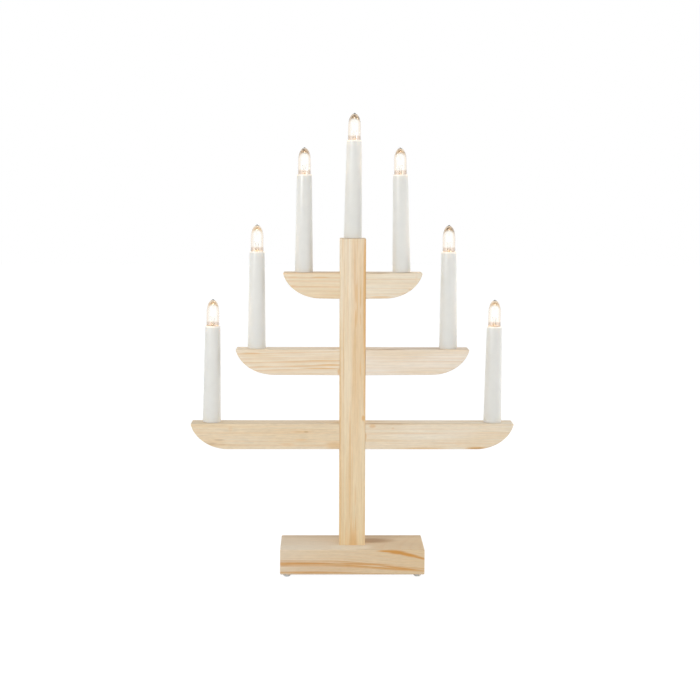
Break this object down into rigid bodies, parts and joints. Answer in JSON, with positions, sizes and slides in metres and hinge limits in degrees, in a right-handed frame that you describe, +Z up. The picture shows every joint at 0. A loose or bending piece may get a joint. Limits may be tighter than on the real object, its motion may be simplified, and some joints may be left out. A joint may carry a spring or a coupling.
{
  "type": "electric candlestick",
  "caption": "Tree-shaped wooden candlestick with electric candles on the tips of its stepped arms and on its post, on a rectangular base block.",
  "frame": {"origin": "on the surface that the candlestick stands on, under the middle of the base block", "axes": "+Z up the post, +X along the arms to the right of someone who faces it, -Y towards that person"},
  "size_m": [0.3368, 0.07, 0.4795],
  "materials": {
    "pine": "planed and sanded, left bare",
    "beech": "turned, bare",
    "zinc_steel": "zinc plated",
    "spring_steel": "bare wire",
    "clear_bumper": "clear and soft",
    "grommet_rubber": "matte, moulded",
    "splice_nylon": "moulded",
    "lead_insulation": "extruded",
    "white_plastic": "moulded, satin gloss",
    "holder_plastic": "moulded",
    "brass": "pressed sheet",
    "nickel_brass": "nickel plated",
    "glass": "clear, blown",
    "filament": "drawn wire, lit"
  },
  "bodies": {
    "candlestick": {"base_block": "pine", "post": "pine", "lower_left_arm": "pine", "lower_right_arm": "pine", "middle_left_arm": "pine", "middle_right_arm": "pine", "top_left_arm": "pine", "top_right_arm": "pine", "arm_dowels": "beech", "post_screws": "zinc_steel", "bumper_feet": "clear_bumper", "wire_staples": "zinc_steel", "cord_grommet": "grommet_rubber", "lead_splices": "splice_nylon", "lamp_leads": "lead_insulation", "screw_shells": "brass", "contact_springs": "spring_steel", "centre_candle_tube": "white_plastic", "centre_lamp_holder": "holder_plastic", "lower_left_candle_tube": "white_plastic", "lower_left_lamp_holder": "holder_plastic", "lower_right_candle_tube": "white_plastic", "lower_right_lamp_holder": "holder_plastic", "middle_left_candle_tube": "white_plastic", "middle_left_lamp_holder": "holder_plastic", "middle_right_candle_tube": "white_plastic", "middle_right_lamp_holder": "holder_plastic", "top_left_candle_tube": "white_plastic", "top_left_lamp_holder": "holder_plastic", "top_right_candle_tube": "white_plastic", "top_right_lamp_holder": "holder_plastic"},
    "centre_contact": {"centre_contact_plunger": "brass"},
    "centre_lamp": {"centre_lamp_glass": "glass", "centre_lamp_cap": "nickel_brass", "centre_filament": "filament"},
    "lower_left_contact": {"lower_left_contact_plunger": "brass"},
    "lower_left_lamp": {"lower_left_lamp_glass": "glass", "lower_left_lamp_cap": "nickel_brass", "lower_left_filament": "filament"},
    "lower_right_contact": {"lower_right_contact_plunger": "brass"},
    "lower_right_lamp": {"lower_right_lamp_glass": "glass", "lower_right_lamp_cap": "nickel_brass", "lower_right_filament": "filament"},
    "middle_left_contact": {"middle_left_contact_plunger": "brass"},
    "middle_left_lamp": {"middle_left_lamp_glass": "glass", "middle_left_lamp_cap": "nickel_brass", "middle_left_filament": "filament"},
    "middle_right_contact": {"middle_right_contact_plunger": "brass"},
    "middle_right_lamp": {"middle_right_lamp_glass": "glass", "middle_right_lamp_cap": "nickel_brass", "middle_right_filament": "filament"},
    "top_left_contact": {"top_left_contact_plunger": "brass"},
    "top_left_lamp": {"top_left_lamp_glass": "glass", "top_left_lamp_cap": "nickel_brass", "top_left_filament": "filament"},
    "top_right_contact": {"top_right_contact_plunger": "brass"},
    "top_right_lamp": {"top_right_lamp_glass": "glass", "top_right_lamp_cap": "nickel_brass", "top_right_filament": "filament"}
  },
  "joints": [
    {"name": "centre_rise", "type": "slide", "parent": "candlestick", "child": "centre_contact", "axis": [0.0122, 0, 0.9999], "range_m": [0, 0.00272]},
    {"name": "centre_turn", "type": "hinge", "parent": "centre_contact", "child": "centre_lamp", "pos_m": [0, 0, 0.35091], "axis": [0.0122, 0, 0.9999], "range_deg": [0, 540]},
    {"name": "lower_left_rise", "type": "slide", "parent": "candlestick", "child": "lower_left_contact", "axis": [0.0157, 0, 0.9999], "range_m": [0, 0.00272]},
    {"name": "lower_left_turn", "type": "hinge", "parent": "lower_left_contact", "child": "lower_left_lamp", "pos_m": [-0.1471, 0, 0.15845], "axis": [0.0157, 0, 0.9999], "range_deg": [0, 540]},
    {"name": "lower_right_rise", "type": "slide", "parent": "candlestick", "child": "lower_right_contact", "axis": [0.0105, 0, 0.9999], "range_m": [0, 0.00272]},
    {"name": "lower_right_turn", "type": "hinge", "parent": "lower_right_contact", "child": "lower_right_lamp", "pos_m": [0.1471, 0, 0.1584], "axis": [0.0105, 0, 0.9999], "range_deg": [0, 540]},
    {"name": "middle_left_rise", "type": "slide", "parent": "candlestick", "child": "middle_left_contact", "axis": [0.007, 0, 1], "range_m": [0, 0.00272]},
    {"name": "middle_left_turn", "type": "hinge", "parent": "middle_left_contact", "child": "middle_left_lamp", "pos_m": [-0.0999, 0, 0.23607], "axis": [0.007, 0, 1], "range_deg": [0, 540]},
    {"name": "middle_right_rise", "type": "slide", "parent": "candlestick", "child": "middle_right_contact", "axis": [0, 0, 1], "range_m": [0, 0.00272]},
    {"name": "middle_right_turn", "type": "hinge", "parent": "middle_right_contact", "child": "middle_right_lamp", "pos_m": [0.0999, 0, 0.236], "axis": [0, 0, 1], "range_deg": [0, 540]},
    {"name": "top_left_rise", "type": "slide", "parent": "candlestick", "child": "top_left_contact", "axis": [0.0052, 0, 1], "range_m": [0, 0.00272]},
    {"name": "top_left_turn", "type": "hinge", "parent": "top_left_contact", "child": "top_left_lamp", "pos_m": [-0.0507, 0, 0.31555], "axis": [0.0052, 0, 1], "range_deg": [0, 540]},
    {"name": "top_right_rise", "type": "slide", "parent": "candlestick", "child": "top_right_contact", "axis": [-0.0157, 0, 0.9999], "range_m": [0, 0.00272]},
    {"name": "top_right_turn", "type": "hinge", "parent": "top_right_contact", "child": "top_right_lamp", "pos_m": [0.0507, 0, 0.31565], "axis": [-0.0157, 0, 0.9999], "range_deg": [0, 540]}
  ],
  "couplings": [
    {"joint": "centre_turn", "follows": "centre_rise", "rad_per_m": 3463.7},
    {"joint": "lower_left_turn", "follows": "lower_left_rise", "rad_per_m": 3463.7},
    {"joint": "lower_right_turn", "follows": "lower_right_rise", "rad_per_m": 3463.7},
    {"joint": "middle_left_turn", "follows": "middle_left_rise", "rad_per_m": 3463.7},
    {"joint": "middle_right_turn", "follows": "middle_right_rise", "rad_per_m": 3463.7},
    {"joint": "top_left_turn", "follows": "top_left_rise", "rad_per_m": 3463.7},
    {"joint": "top_right_turn", "follows": "top_right_rise", "rad_per_m": 3463.7}
  ]
}
